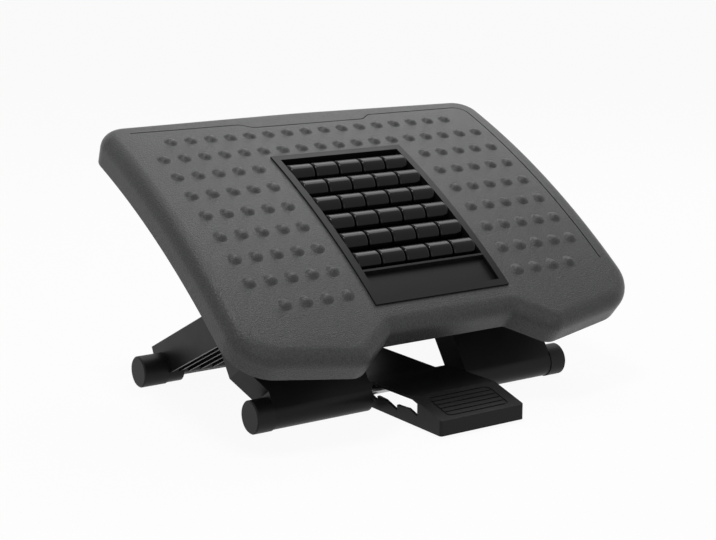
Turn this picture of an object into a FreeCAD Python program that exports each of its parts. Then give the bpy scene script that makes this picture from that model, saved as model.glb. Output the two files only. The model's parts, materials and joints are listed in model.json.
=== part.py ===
"""Tilting under desk footrest: an arched footplate with a roller tray on a folding two-leg base.

Sizes are millimetres and degrees. X runs across the width, +Y to the rear, +Z up.
The footrest is worked out about its main hinge axis and moved, as a whole, so that
the origin is on the floor under the centre of its bounding box.
"""
import FreeCAD, Part
import math
import os

V = FreeCAD.Vector
X_AXIS = V(1, 0, 0)
Z_AXIS = V(0, 0, 1)

# Base: two legs that meet at the main hinge and stand on rubber-capped tubes
FRONT_LEG_LENGTH = 115.0
FRONT_LEG_ANGLE = 55.0
REAR_LEG_LENGTH = 157.2
REAR_SLAB_ANGLE = 26.5
REAR_SLAB_LOW = -8.2
REAR_SLAB_HIGH = 25.4
REAR_SLAB_TAIL = 12.3
REAR_CORE_RADIUS = 9.0
REAR_FOOT_LENGTH = 17.5
TUBE_RADIUS = 15.0
LEG_WALL = 3.0
LEG_RIB = 2.4
LEG_RIB_PITCH = 14.0
CAP_RADIUS = 15.8
CAP_BEVEL = 1.2
CAP_FLAT = 0.3
CAP_SPIGOT = 14.0
CAP_SPIGOT_GAP = 0.3
REAR_LEG_HALF_WIDTH = 172.0
REAR_CAP_LENGTH = 27.0
FRONT_LEG_HALF_WIDTH = 181.0
FRONT_SIDE_CUT = 18.0
FRONT_CAP_LENGTH = 19.0
WING_GAP_HALF = 56.0
SIDE_CUT_START = 17.0
SIDE_CUT_END = 44.0
WING_BRIDGE_START = 80.0
REAR_BRIDGE_START = 84.0
REAR_SLAB_END = 126.0
FRONT_SLAB_END = 92.0

# Main hinge: one steel rod through the knuckles of both legs and the plate's brackets
HINGE_ROD_RADIUS = 4.0
HINGE_ROD_GAP = 0.08
KNUCKLE_RADIUS = 10.0
HINGE_STACK_START = 60.0
FRONT_KNUCKLE_WIDTH = 22.0
REAR_KNUCKLE_WIDTH = 12.0
BRACKET_EAR_WIDTH = 10.0
WASHER_THICKNESS = 1.4
WASHER_RADIUS = 9.0
WASHER_GAP = 0.1
SIDE_GAP = 0.15
HINGE_CLIP_RADIUS = 7.0
HINGE_CLIP_THICKNESS = 1.2
ROD_END = 3.0
ARM_SLOT_GAP = 1.0
ARM_SLOT_START = 72.0

# Footplate: a shell with an arched top, in its own frame (x, t towards the rear, n outwards)
TILT_AT_REST = 29.8
ARCH_RADIUS = 955.0
CREST_REARWARD = 40.6
CREST_HEIGHT = 71.9
HALF_WIDTH = 227.5
REAR_EDGE = 172.0
REAR_BOW = 4.5
FRONT_OUTER_EDGE = 173.5
FRONT_LOBE_EDGE = 195.5
LOBE_CORNER_X = 109.0
RECESS_EDGE = 165.5
RECESS_HALF_WIDTH = 70.0
REAR_CORNER_RADIUS = 29.0
FRONT_CORNER_RADIUS = 46.0
LOBE_CORNER_RADIUS = 20.0
RECESS_CORNER_RADIUS = 8.0
REAR_BOW_RADIUS = 1500.0
SKIRT_DEPTH = 30.5
SHELL_WALL = 3.2
SHOULDER_BEVEL = 8.8
PLATE_RIB = 2.2
PLATE_RIB_DEPTH = 9.0
PLATE_RIB_PITCH = 44.0

# Massage nubs on the footplate
NUB_RADIUS = 6.2
NUB_HEIGHT = 3.4
NUB_SINK = 1.0
NUB_WAIST = 0.7
NUB_FLAT = 1.8
NUB_SIDES = 10
NUB_PITCH_X = 22.0
NUB_PITCH_T = 30.2
NUB_COLUMNS = 18
NUB_ROWS = 9
NUB_SIDE_COLUMNS = 5

# Roller tray set into the footplate
TRAY_HALF_WIDTH = 77.0
TRAY_REAR = 77.5
TRAY_FRONT = 137.5
TRAY_RIM_HEIGHT = 1.6
TRAY_RIM_WIDTH = 5.0
TRAY_DEPTH = 25.0
TRAY_WALL = 2.4
TRAY_FIT = 0.4
TRAY_PANEL_DROP = 3.0
WELL_FRONT = 96.0
TRAY_LIP_GAP = 0.1
TRAY_LUG_LENGTH = 16.0
TRAY_LUG_REACH = 2.0
TRAY_LUGS = (50.0, -20.0, -90.0)

# Rollers, on one axle a row
ROLLER_ROWS = 6
ROLLERS_A_ROW = 5
ROLLER_ROW_PITCH = 26.8
ROLLER_PITCH = 27.8
ROLLER_LENGTH = 26.6
ROLLER_RADIUS = 11.6
ROLLER_END_RADIUS = 10.4
ROLLER_RISE = 3.4
ROLLER_BEVEL = 2.4
ROLLER_STAVES = 24
BORE_SIDES = 8
AXLE_RADIUS = 2.0
AXLE_GAP = 0.08
AXLE_SEAT_GAP = 0.05
ROLLER_FIELD_MIDDLE = -13.0

# Pedal: a lever on the rear tube's pivot rod, whose toothed slots the lock rod passes through
PEDAL_HALF_WIDTH = 48.0
PEDAL_WALL = 3.0
PEDAL_SKIN = 2.2
PEDAL_TIP = 302.0
PEDAL_TIP_HEIGHT = 14.5
PEDAL_CREST = 258.0
PEDAL_CREST_HEIGHT = 29.0
PEDAL_STEP = 183.0
PEDAL_STEP_HEIGHT = 27.5
PEDAL_ARM_FRONT_HEIGHT = 21.0
PEDAL_ARM_REAR_HEIGHT = 20.0
PEDAL_ARM_REAR = 30.0
PEDAL_TIP_CLEARANCE = 3.0
PEDAL_HEEL_CLEARANCE = 2.2
PEDAL_EYE_RADIUS = 9.0
PEDAL_GROOVES = 6
PEDAL_GROOVE_WIDTH = 1.6
PEDAL_GROOVE_DEPTH = 0.8
PEDAL_PAD_MARGIN = 13.0
PEDAL_PAD_CORNER = 5.0
PEDAL_CORNER_RADIUS = 2.5
PIVOT_ROD_RADIUS = 4.0
PIVOT_ROD_GAP = 0.08
PIVOT_SEAT = 14.0

# Lock rod, between the wings of the front leg, and the three notches that it drops into
LOCK_ROD_RADIUS = 3.5
LOCK_ROD_GAP = 0.08
LOCK_ROD_FORWARD = 6.0
LOCK_ROD_UP = 4.8
LOCK_ROD_SEAT = 14.0
NOTCH_PITCH = 32.0
NOTCHES = 3
NOTCH_DEPTH = 5.5
NOTCH_SLOPE_RUN = 20.0
NOTCH_CLEARANCE = 0.4
PEDAL_PASSAGE_GAP = 4.0
PEDAL_PASSAGE_TOP = 3.0

# Hinge brackets, screwed to bosses under the footplate
BRACKET_HALF_LENGTH = 29.0
BRACKET_FLANGE = 30.0
BRACKET_INNER_FLANGE = 8.5
BRACKET_BASE = 5.0
BRACKET_WEB = 3.0
BRACKET_SEAT_GAP = 0.05
BRACKET_SCREW_INSET = 6.0

# Fasteners
SCREW_RADIUS = 1.7
SCREW_HEAD_RADIUS = 3.4
SCREW_HEAD_HEIGHT = 2.0
SCREW_LENGTH = 8.0
BOSS_RADIUS = 3.8
SCREW_GAP = 0.1
CLIP_GAP = 0.02
SPACER_RADIUS = 6.5
SPRING_WIRE_RADIUS = 0.9
SPRING_TURNS = 5
SPRING_GAP = 0.15

# Derived places, with the main hinge axis at Y = 0
APEX_Z = CAP_RADIUS + FRONT_LEG_LENGTH * math.sin(math.radians(FRONT_LEG_ANGLE))
FRONT_TUBE_Y = -FRONT_LEG_LENGTH * math.cos(math.radians(FRONT_LEG_ANGLE))
REAR_TUBE_Y = math.sqrt(REAR_LEG_LENGTH ** 2 - (APEX_Z - CAP_RADIUS) ** 2)
APEX = V(0, 0, APEX_Z)
FRONT_TUBE = V(0, FRONT_TUBE_Y, CAP_RADIUS)
REAR_TUBE = V(0, REAR_TUBE_Y, CAP_RADIUS)
LOCK_ROD = V(0, FRONT_TUBE_Y - LOCK_ROD_FORWARD, CAP_RADIUS + LOCK_ROD_UP)


def box(x0, x1, y0, y1, z0, z1):
    """A block between two corners."""
    return Part.makeBox(x1 - x0, y1 - y0, z1 - z0, V(x0, y0, z0))


def x_cylinder(radius, x0, x1, y=0.0, z=0.0):
    """A cylinder along X."""
    return Part.makeCylinder(radius, x1 - x0, V(x0, y, z), X_AXIS)


def prism(points, x0, x1):
    """A polygon given as (y, z) points, extruded along X."""
    corners = [V(x0, y, z) for y, z in points]
    wire = Part.makePolygon(corners + corners[:1])
    return Part.Face(wire).extrude(V(x1 - x0, 0, 0))


def mirrored(shape):
    """The same shape on the other side of the symmetry plane."""
    return shape.mirror(V(0, 0, 0), X_AXIS)


def both_sides(shape):
    """A shape and its mirror image."""
    return [shape, mirrored(shape)]


def one_solid(shape):
    """The cleaned result of a boolean operation as a single shape."""
    shape = shape.removeSplitter()
    if len(shape.Solids) == 1:
        return shape.Solids[0]
    return Part.makeCompound(shape.Solids)


def tangent_hull(y0, z0, r0, y1, z1, r1, x0, x1):
    """An arm along X-thickness that wraps two round ends of different radius."""
    span = math.hypot(y1 - y0, z1 - z0)
    heading = math.atan2(z1 - z0, y1 - y0)
    lean = math.acos((r0 - r1) / span)
    points = []
    for side in (1, -1):
        angle = heading + side * lean
        pair = [
            (y0 + r0 * math.cos(angle), z0 + r0 * math.sin(angle)),
            (y1 + r1 * math.cos(angle), z1 + r1 * math.sin(angle)),
        ]
        points += pair if side == 1 else pair[::-1]
    arm = prism(points, x0, x1)
    ends = [x_cylinder(r0, x0, x1, y0, z0), x_cylinder(r1, x0, x1, y1, z1)]
    return arm.fuse(ends)


def placed_along(shape, base, angle):
    """Turn a shape drawn along +Y so that it leaves base at an angle above the floor."""
    shape = shape.copy()
    shape.rotate(V(0, 0, 0), X_AXIS, angle)
    shape.translate(base)
    return shape


def leg_plan(half_width, side_cut, tail, slab_end, bridge_start, inset):
    """The leg's plan as a face: x across, y along the leg from the tube's axis."""
    foot = half_width - side_cut
    right = [(half_width, slab_end)]
    if side_cut:
        right += [(half_width, SIDE_CUT_END), (foot, SIDE_CUT_START)]
    right += [(foot, -tail), (WING_GAP_HALF, -tail), (WING_GAP_HALF, bridge_start)]
    left = [(-x, y) for x, y in reversed(right)]
    corners = [V(x, y, 0) for x, y in right + left]
    wire = Part.makePolygon(corners + corners[:1])
    if inset:
        wire = wire.makeOffset2D(-inset, 2)
    return Part.Face(wire)


def leg_moulding(plan, low, high, tube, tube_keep):
    """A slab fused to its tube, hollow and ribbed on its underside and split for the pedal.

    It is drawn along +Y from the tube's axis, with its smooth face up at the height high.
    The plan is given as leg_plan's arguments but the inset. What lies in tube_keep stays solid.
    """
    half_width, slab_end, bridge_start = plan[0], plan[3], plan[4]
    slab = leg_plan(*plan, 0).extrude(V(0, 0, high - low))
    slab.translate(V(0, 0, low))
    gap = box(-WING_GAP_HALF, WING_GAP_HALF, -2 * TUBE_RADIUS, bridge_start, -99, 99)
    pocket = leg_plan(*plan, LEG_WALL).extrude(V(0, 0, high - low))
    pocket.translate(V(0, 0, low - LEG_WALL))
    pocket = pocket.cut(tube_keep)
    inner = half_width - LEG_WALL
    ribs = []
    rib_count = int((inner - WING_GAP_HALF - LEG_WALL) / LEG_RIB_PITCH)
    for index in range(1, rib_count + 1):
        x = half_width - index * LEG_RIB_PITCH
        rib = box(x, x + LEG_RIB, -2 * TUBE_RADIUS, slab_end, low, high)
        ribs += both_sides(rib)
    pocket = pocket.cut(ribs)
    return slab.cut(pocket).fuse(tube).cut(gap)


def rod_hole(radius, gap, base):
    """The hole for a rod along X, right through the width."""
    reach = 2 * HALF_WIDTH
    return x_cylinder(radius + gap, -reach, reach, base.y, base.z)


def cap_seat(half_width, base):
    """The blind hole in a tube's end for a rubber cap's spigot."""
    depth = CAP_SPIGOT + CAP_SPIGOT_GAP
    radius = TUBE_RADIUS - LEG_WALL
    seat = x_cylinder(radius, half_width - depth, half_width + 1, base.y, base.z)
    return both_sides(seat)


def hinge_stack():
    """The X ranges of what sits on the right half of the hinge rod, from the middle outwards."""
    widths = [
        ("front_inner", FRONT_KNUCKLE_WIDTH),
        ("washer_a", WASHER_THICKNESS),
        ("ear", BRACKET_EAR_WIDTH),
        ("washer_b", WASHER_THICKNESS),
        ("rear", REAR_KNUCKLE_WIDTH),
        ("washer_c", WASHER_THICKNESS),
        ("front_outer", FRONT_KNUCKLE_WIDTH),
        ("clip", HINGE_CLIP_THICKNESS),
    ]
    ranges = {}
    x = HINGE_STACK_START
    for name, width in widths:
        ranges[name] = (x, x + width)
        x += width + SIDE_GAP
    return ranges


STACK = hinge_stack()


def make_front_leg():
    """Two wings that rise from the front tubes and join under the main hinge."""
    foot = FRONT_LEG_HALF_WIDTH - FRONT_SIDE_CUT
    tube = x_cylinder(TUBE_RADIUS, -foot, foot)
    tube_keep = box(-foot, foot, -1, TUBE_RADIUS + LEG_WALL, -99, 99)
    plan = (FRONT_LEG_HALF_WIDTH, FRONT_SIDE_CUT, 0, FRONT_SLAB_END, WING_BRIDGE_START)
    body = leg_moulding(plan, -TUBE_RADIUS, TUBE_RADIUS, tube, tube_keep)
    x0, x1 = STACK["rear"]
    slot = box(x0 - ARM_SLOT_GAP, x1 + ARM_SLOT_GAP, ARM_SLOT_START, 2 * FRONT_SLAB_END, -99, 99)
    body = body.cut(both_sides(slot))
    root = FRONT_SLAB_END - TUBE_RADIUS
    for name in ("front_inner", "front_outer"):
        arm = tangent_hull(root, 0, TUBE_RADIUS - LEG_WALL / 2, FRONT_LEG_LENGTH, 0, KNUCKLE_RADIUS,
                           *STACK[name])
        body = body.fuse(both_sides(arm))
    body = placed_along(body, FRONT_TUBE, FRONT_LEG_ANGLE)
    holes = cap_seat(foot, FRONT_TUBE)
    holes.append(rod_hole(HINGE_ROD_RADIUS, HINGE_ROD_GAP, APEX))
    seat = WING_GAP_HALF + LOCK_ROD_SEAT
    holes.append(x_cylinder(LOCK_ROD_RADIUS + LOCK_ROD_GAP, -seat, seat, LOCK_ROD.y, LOCK_ROD.z))
    return one_solid(body.cut(holes))


def make_rear_leg():
    """The long shallow leg: a deep slab on a slim tube with a full-size foot at each end."""
    tube = x_cylinder(REAR_CORE_RADIUS, -REAR_LEG_HALF_WIDTH, REAR_LEG_HALF_WIDTH)
    feet = both_sides(x_cylinder(TUBE_RADIUS, REAR_LEG_HALF_WIDTH - REAR_FOOT_LENGTH, REAR_LEG_HALF_WIDTH))
    tube = tube.fuse(feet)
    plan = (REAR_LEG_HALF_WIDTH, 0, REAR_SLAB_TAIL, REAR_SLAB_END, REAR_BRIDGE_START)
    body = leg_moulding(plan, REAR_SLAB_LOW, REAR_SLAB_HIGH, tube, tube)
    passage = PEDAL_HALF_WIDTH + PEDAL_PASSAGE_GAP
    body = body.cut(box(-passage, passage, 0, 2 * REAR_SLAB_END, -99, PEDAL_PASSAGE_TOP))
    body = placed_along(body, V(0, 0, 0), REAR_SLAB_ANGLE)
    body = body.mirror(V(0, 0, 0), V(0, 1, 0))
    body.translate(REAR_TUBE)
    slab = math.radians(REAR_SLAB_ANGLE)
    root = REAR_SLAB_END - TUBE_RADIUS
    middle = (REAR_SLAB_LOW + REAR_SLAB_HIGH) / 2
    root_y = REAR_TUBE_Y - root * math.cos(slab) + middle * math.sin(slab)
    root_z = CAP_RADIUS + root * math.sin(slab) + middle * math.cos(slab)
    arm = tangent_hull(root_y, root_z, TUBE_RADIUS - LEG_WALL, 0, APEX_Z, KNUCKLE_RADIUS,
                       *STACK["rear"])
    body = body.fuse(both_sides(arm))
    holes = cap_seat(REAR_LEG_HALF_WIDTH, REAR_TUBE)
    holes.append(rod_hole(HINGE_ROD_RADIUS, HINGE_ROD_GAP, APEX))
    seat = WING_GAP_HALF + PIVOT_SEAT
    holes.append(x_cylinder(PIVOT_ROD_RADIUS + PIVOT_ROD_GAP, -seat, seat, REAR_TUBE.y, REAR_TUBE.z))
    return one_solid(body.cut(holes))


def make_cap(half_width, length, base):
    """A rubber cap on the right end of a tube, with a spigot inside the tube."""
    shell = x_cylinder(CAP_RADIUS, half_width, half_width + length, base.y, base.z)
    rim = [edge for edge in shell.Edges if abs(edge.CenterOfMass.x - half_width - length) < 0.01]
    shell = shell.makeChamfer(CAP_BEVEL, rim)
    spigot_radius = TUBE_RADIUS - LEG_WALL - CAP_SPIGOT_GAP
    spigot = x_cylinder(spigot_radius, half_width - CAP_SPIGOT, half_width + 1, base.y, base.z)
    worn = box(half_width - 1, half_width + length + 1, base.y - CAP_RADIUS, base.y + CAP_RADIUS,
               -1, CAP_FLAT)
    return one_solid(shell.fuse(spigot).cut(worn))


def corner_wire(corners):
    """A closed wire of straight runs joined by tangent arcs, from (x, t, radius) corners."""
    count = len(corners)
    edges = []
    ends = []
    for index, (x, t, radius) in enumerate(corners):
        here = V(x, t, 0)
        before = V(*corners[index - 1][:2], 0) - here
        after = V(*corners[(index + 1) % count][:2], 0) - here
        before.normalize()
        after.normalize()
        half = before.getAngle(after) / 2
        reach = radius / math.tan(half)
        middle = (before + after).normalize()
        centre = here + middle * (radius / math.sin(half))
        start = here + before * reach
        end = here + after * reach
        top = centre - middle * radius
        ends.append((start, Part.Arc(start, top, end).toShape(), end))
    for index in range(count):
        edges.append(ends[index][1])
        edges.append(Part.makeLine(ends[index][2], ends[(index + 1) % count][0]))
    return Part.Wire(edges)


def plate_outline(inset, level):
    """The footplate's plan outline at a level over the crest, drawn in smaller by an inset.

    The skirt stands square to the arch, so the outline shrinks towards the arch's centre.
    """
    spread = 1 + level / ARCH_RADIUS
    right = [
        (HALF_WIDTH, REAR_EDGE - REAR_BOW, REAR_CORNER_RADIUS),
        (HALF_WIDTH, -FRONT_OUTER_EDGE, FRONT_CORNER_RADIUS),
        (LOBE_CORNER_X, -FRONT_LOBE_EDGE, LOBE_CORNER_RADIUS),
        (RECESS_HALF_WIDTH, -RECESS_EDGE, RECESS_CORNER_RADIUS),
    ]
    left = [(-x, t, radius) for x, t, radius in reversed(right)]
    corners = [(0, REAR_EDGE, REAR_BOW_RADIUS)] + right + left
    wire = corner_wire([(x, t * spread, radius) for x, t, radius in corners])
    if inset:
        wire = wire.makeOffset2D(-inset)
    wire.translate(V(0, 0, level))
    return wire


def arch(drop):
    """The solid cylinder under the arched top, sunk by a drop, in the plate's frame."""
    reach = HALF_WIDTH + 20
    return x_cylinder(ARCH_RADIUS - drop, -reach, reach, 0, -ARCH_RADIUS)


def plate_prism(inset):
    """The outline as a tall block through the arch, tapered towards the arch's centre."""
    levels = (-3 * SKIRT_DEPTH, SKIRT_DEPTH)
    return Part.makeLoft([plate_outline(inset, level) for level in levels], True, True)


def arch_height(t):
    """Height of the arched top above its crest's tangent plane, at a place along the plate."""
    return math.sqrt(ARCH_RADIUS ** 2 - t ** 2) - ARCH_RADIUS


def bevelled_body(inset, drop, bevel):
    """The outline under a sunk arch, with its top edge bevelled all round."""
    body = plate_prism(inset).common(arch(drop)).removeSplitter()
    top = [face for face in body.Faces if face.Surface.TypeId == "Part::GeomCylinder"
           and abs(face.Surface.Radius - ARCH_RADIUS + drop) < 0.01]
    return body.makeChamfer(bevel, top[0].Edges)


def on_arch(shape, t):
    """Move a shape, drawn on the crest, along the arch to a place t, square to the surface."""
    shape = shape.copy()
    shape.rotate(V(0, 0, -ARCH_RADIUS), X_AXIS, -math.degrees(t / ARCH_RADIUS))
    return shape


def nub_places():
    """The (x, arc length) places of the massage nubs, in rows around the roller tray."""
    places = []
    for row in range(NUB_ROWS):
        for column in range(NUB_COLUMNS):
            from_side = min(column, NUB_COLUMNS - 1 - column)
            if row > 1 and from_side >= NUB_SIDE_COLUMNS:
                continue
            if row in (0, NUB_ROWS - 1) and from_side == 0:
                continue
            x = (column - (NUB_COLUMNS - 1) / 2) * NUB_PITCH_X
            places.append((x, ((NUB_ROWS - 1) / 2 - row) * NUB_PITCH_T))
    return places


def polygon_ring(radius, x, y, z, sides, axis):
    """A regular polygon's wire about a point, square to an axis."""
    corners = []
    for index in range(sides):
        angle = 2 * math.pi * (index + 0.5) / sides
        along = radius * math.cos(angle)
        across = radius * math.sin(angle)
        offset = V(0, along, across) if axis is X_AXIS else V(along, across, 0)
        corners.append(V(x, y, z) + offset)
    return Part.makePolygon(corners + corners[:1])


def make_nub():
    """One dome in two faceted tiers, whose root is sunk into the top so that it fuses cleanly."""
    ball_radius = (NUB_RADIUS ** 2 + NUB_HEIGHT ** 2) / (2 * NUB_HEIGHT)
    tiers = []
    for height in (-NUB_SINK, NUB_HEIGHT * NUB_WAIST, NUB_HEIGHT):
        drop = NUB_HEIGHT - height
        radius = math.sqrt(2 * ball_radius * drop - drop ** 2)
        tiers.append(polygon_ring(max(radius, NUB_FLAT), 0, 0, height, NUB_SIDES, Z_AXIS))
    return Part.makeLoft(tiers, True, True)


def tray_opening_half_width():
    """Half the width of the footplate's opening, which the tray's rim covers."""
    return TRAY_HALF_WIDTH - TRAY_RIM_WIDTH + TRAY_FIT


def tray_block(margin, low, high):
    """A rectangular block of the tray's plan, drawn in by a margin."""
    return box(-TRAY_HALF_WIDTH + margin, TRAY_HALF_WIDTH - margin,
               -TRAY_FRONT + margin, TRAY_REAR - margin, low, high)


def bracket_screw_places():
    """The plan places of one hinge bracket's four screws, on the right side."""
    ear_low, ear_high = STACK["ear"]
    places = []
    for x in (ear_low - BRACKET_SCREW_INSET, ear_high + BRACKET_FLANGE - BRACKET_SCREW_INSET):
        for side in (-1, 1):
            places.append((x, -CREST_REARWARD + side * (BRACKET_HALF_LENGTH - BRACKET_SCREW_INSET)))
    return places


def to_world(shape):
    """Move a shape from the plate's frame to its place on the hinge at rest."""
    shape = shape.copy()
    shape.translate(V(0, CREST_REARWARD, CREST_HEIGHT))
    shape.rotate(V(0, 0, 0), X_AXIS, TILT_AT_REST)
    shape.translate(APEX)
    return shape


def make_footplate():
    """The arched shell with its skirt, nubs, tray opening and ribs below."""
    outer = bevelled_body(0, 0, SHOULDER_BEVEL)
    inner = bevelled_body(SHELL_WALL, SHELL_WALL, SHOULDER_BEVEL)
    below = arch(SKIRT_DEPTH)
    opening = tray_block(TRAY_RIM_WIDTH - TRAY_FIT, -3 * SKIRT_DEPTH, 3 * SKIRT_DEPTH)
    shell = outer.cut([inner, below])
    rib_zone = inner.cut(arch(SHELL_WALL + PLATE_RIB_DEPTH))
    ribs = []
    reach = HALF_WIDTH + 10
    half_rib = PLATE_RIB / 2
    count = int(HALF_WIDTH / PLATE_RIB_PITCH)
    for index in range(-count, count + 1):
        x = index * PLATE_RIB_PITCH
        ribs.append(box(x - half_rib, x + half_rib, -reach, reach, -99, 20))
        t = index * PLATE_RIB_PITCH + CREST_REARWARD / 2
        ribs.append(box(-reach, reach, t - half_rib, t + half_rib, -99, 20))
    frame_width = PLATE_RIB + TRAY_RIM_WIDTH
    ribs.append(tray_block(-PLATE_RIB, -99, 20).cut(tray_block(frame_width, -100, 21)))
    lattice = ribs[0].fuse(ribs[1:]).common(rib_zone)
    bosses = []
    pilot_holes = []
    for x, s in bracket_screw_places():
        boss = Part.makeCylinder(BOSS_RADIUS, 99, V(x, s, -99))
        pilot = Part.makeCylinder(SCREW_RADIUS, 99, V(x, s, -99 - SHELL_WALL - 1))
        bosses += both_sides(boss)
        pilot_holes += both_sides(pilot)
    lattice = lattice.fuse(Part.makeCompound(bosses).common(rib_zone))
    body = shell.fuse(lattice).cut([opening] + pilot_holes)
    nub = make_nub()
    nubs = []
    for x, s in nub_places():
        dome = on_arch(nub, s)
        dome.translate(V(x, 0, 0))
        nubs.append(dome)
    body = body.fuse(nubs)
    return one_solid(body)


def arch_layer(plan, high, low):
    """The part of a plan block that lies between two drops below the arched top."""
    return plan.common(arch(high)).cut(arch(low))


def make_tray():
    """The moulded insert: a rim on the top, a well for the rollers and a bare front panel."""
    rim = arch_layer(tray_block(0, -99, 99), -TRAY_RIM_HEIGHT - TRAY_LIP_GAP, -TRAY_LIP_GAP)
    sleeve = arch_layer(tray_block(TRAY_RIM_WIDTH, -99, 99), -TRAY_RIM_HEIGHT - TRAY_LIP_GAP, TRAY_DEPTH)
    body = rim.fuse(sleeve)
    margin = TRAY_RIM_WIDTH + TRAY_WALL
    inside = tray_block(margin, -99, 99)
    well = inside.cut(box(-HALF_WIDTH, HALF_WIDTH, -HALF_WIDTH, -WELL_FRONT, -100, 100))
    body = body.cut(arch_layer(well, -99, TRAY_DEPTH - TRAY_WALL))
    panel = inside.cut(box(-HALF_WIDTH, HALF_WIDTH, -WELL_FRONT - TRAY_WALL, HALF_WIDTH, -100, 100))
    body = body.cut(arch_layer(panel, -99, TRAY_PANEL_DROP))
    body = body.cut(arch_layer(panel, TRAY_PANEL_DROP + TRAY_WALL, TRAY_DEPTH + 1))
    lug_top = SHELL_WALL + PLATE_RIB_DEPTH + TRAY_LIP_GAP
    wall_face = TRAY_HALF_WIDTH - TRAY_RIM_WIDTH
    lugs = []
    for t in TRAY_LUGS:
        plan = box(wall_face - TRAY_WALL, wall_face + TRAY_LUG_REACH, t, t + TRAY_LUG_LENGTH, -99, 0)
        lugs += both_sides(arch_layer(plan, lug_top, lug_top + TRAY_WALL))
    body = body.fuse(lugs)
    seats = [axle_at(row, AXLE_RADIUS + AXLE_SEAT_GAP, wall_face + 1) for row in range(ROLLER_ROWS)]
    return one_solid(body.cut(seats))


def row_place(row):
    """Arc length of a roller row's axle from the crest, rear row first."""
    middle = (ROLLER_ROWS - 1) / 2
    return ROLLER_FIELD_MIDDLE + (middle - row) * ROLLER_ROW_PITCH


def axle_at(row, radius, half_length):
    """A bar along X on a row's axle line, in the plate's frame."""
    bar = x_cylinder(radius, -half_length, half_length, 0, ROLLER_RISE - ROLLER_RADIUS)
    return on_arch(bar, row_place(row))


def make_roller(row, column):
    """A barrel in flat staves, with bevelled ends, bored for the row's axle."""
    half = ROLLER_LENGTH / 2
    flat = half - ROLLER_BEVEL
    centre = ROLLER_RISE - ROLLER_RADIUS
    x = (column - (ROLLERS_A_ROW - 1) / 2) * ROLLER_PITCH
    rings = []
    for place, radius in (
        (-half, ROLLER_END_RADIUS),
        (-flat, ROLLER_RADIUS),
        (flat, ROLLER_RADIUS),
        (half, ROLLER_END_RADIUS),
    ):
        rings.append(polygon_ring(radius, x + place, 0, centre, ROLLER_STAVES, X_AXIS))
    barrel = Part.makeLoft(rings, True, True)
    bore_radius = (AXLE_RADIUS + AXLE_GAP) / math.cos(math.pi / BORE_SIDES)
    ends = (x - half - 1, x + half + 1)
    bore = [polygon_ring(bore_radius, place, 0, centre, BORE_SIDES, X_AXIS) for place in ends]
    barrel = barrel.cut(Part.makeLoft(bore, True, True))
    return on_arch(barrel, row_place(row))


def make_axles():
    """One steel axle for each row of rollers."""
    half_length = TRAY_HALF_WIDTH - TRAY_RIM_WIDTH - AXLE_SEAT_GAP
    return Part.makeCompound([axle_at(row, AXLE_RADIUS, half_length) for row in range(ROLLER_ROWS)])


def make_bracket():
    """The right bracket: a curved base under the ribs, an ear down to the hinge and a web."""
    ear_low, ear_high = STACK["ear"]
    seat = SHELL_WALL + PLATE_RIB_DEPTH + BRACKET_SEAT_GAP
    low_t = -CREST_REARWARD - BRACKET_HALF_LENGTH
    high_t = -CREST_REARWARD + BRACKET_HALF_LENGTH
    plan = box(ear_low - BRACKET_INNER_FLANGE, ear_high + BRACKET_FLANGE, low_t, high_t, -99, 0)
    base = arch_layer(plan, seat, seat + BRACKET_BASE)
    barrel = x_cylinder(KNUCKLE_RADIUS, ear_low, ear_high, -CREST_REARWARD, -CREST_HEIGHT)
    ear = prism([
        (-CREST_REARWARD - KNUCKLE_RADIUS, -CREST_HEIGHT),
        (low_t + BRACKET_BASE, -seat - BRACKET_BASE / 2),
        (high_t - BRACKET_BASE, -seat - BRACKET_BASE / 2),
        (-CREST_REARWARD + KNUCKLE_RADIUS, -CREST_HEIGHT),
    ], ear_low, ear_high)
    ear = ear.common(arch(seat))
    web_low = -CREST_HEIGHT + KNUCKLE_RADIUS + 2 * TUBE_RADIUS
    web = Part.Face(Part.makePolygon([
        V(ear_high - 1, 0, -seat - BRACKET_BASE / 2),
        V(ear_high + BRACKET_FLANGE, 0, -seat - BRACKET_BASE / 2),
        V(ear_high - 1, 0, web_low),
        V(ear_high - 1, 0, -seat - BRACKET_BASE / 2),
    ])).extrude(V(0, BRACKET_WEB, 0))
    web.translate(V(0, -CREST_REARWARD - BRACKET_WEB / 2, 0))
    body = base.fuse([barrel, ear, web])
    holes = [rod_hole(HINGE_ROD_RADIUS, HINGE_ROD_GAP, V(0, -CREST_REARWARD, -CREST_HEIGHT))]
    for x, t in bracket_screw_places():
        holes.append(Part.makeCylinder(SCREW_RADIUS + SCREW_GAP, 99, V(x, t, -99)))
    return one_solid(body.cut(holes))


def make_bracket_screws():
    """Pan-head screws that hold both brackets to the footplate."""
    screws = []
    seat = SHELL_WALL + PLATE_RIB_DEPTH + BRACKET_SEAT_GAP + BRACKET_BASE
    for x, t in bracket_screw_places():
        head_top = arch_height(abs(t) + SCREW_HEAD_RADIUS) - seat - SCREW_GAP
        shank = Part.makeCylinder(SCREW_RADIUS - SCREW_GAP, BRACKET_BASE + SCREW_LENGTH, V(x, t, head_top))
        head = Part.makeCylinder(SCREW_HEAD_RADIUS, SCREW_HEAD_HEIGHT, V(x, t, head_top - SCREW_HEAD_HEIGHT))
        screws += both_sides(one_solid(shank.fuse(head)))
    return Part.makeCompound(screws)


def ring(outer, bore, x_range, base):
    """A flat ring on a rod along X."""
    disc = x_cylinder(outer, *x_range, base.y, base.z)
    return disc.cut(x_cylinder(bore, x_range[0] - 1, x_range[1] + 1, base.y, base.z))


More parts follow.
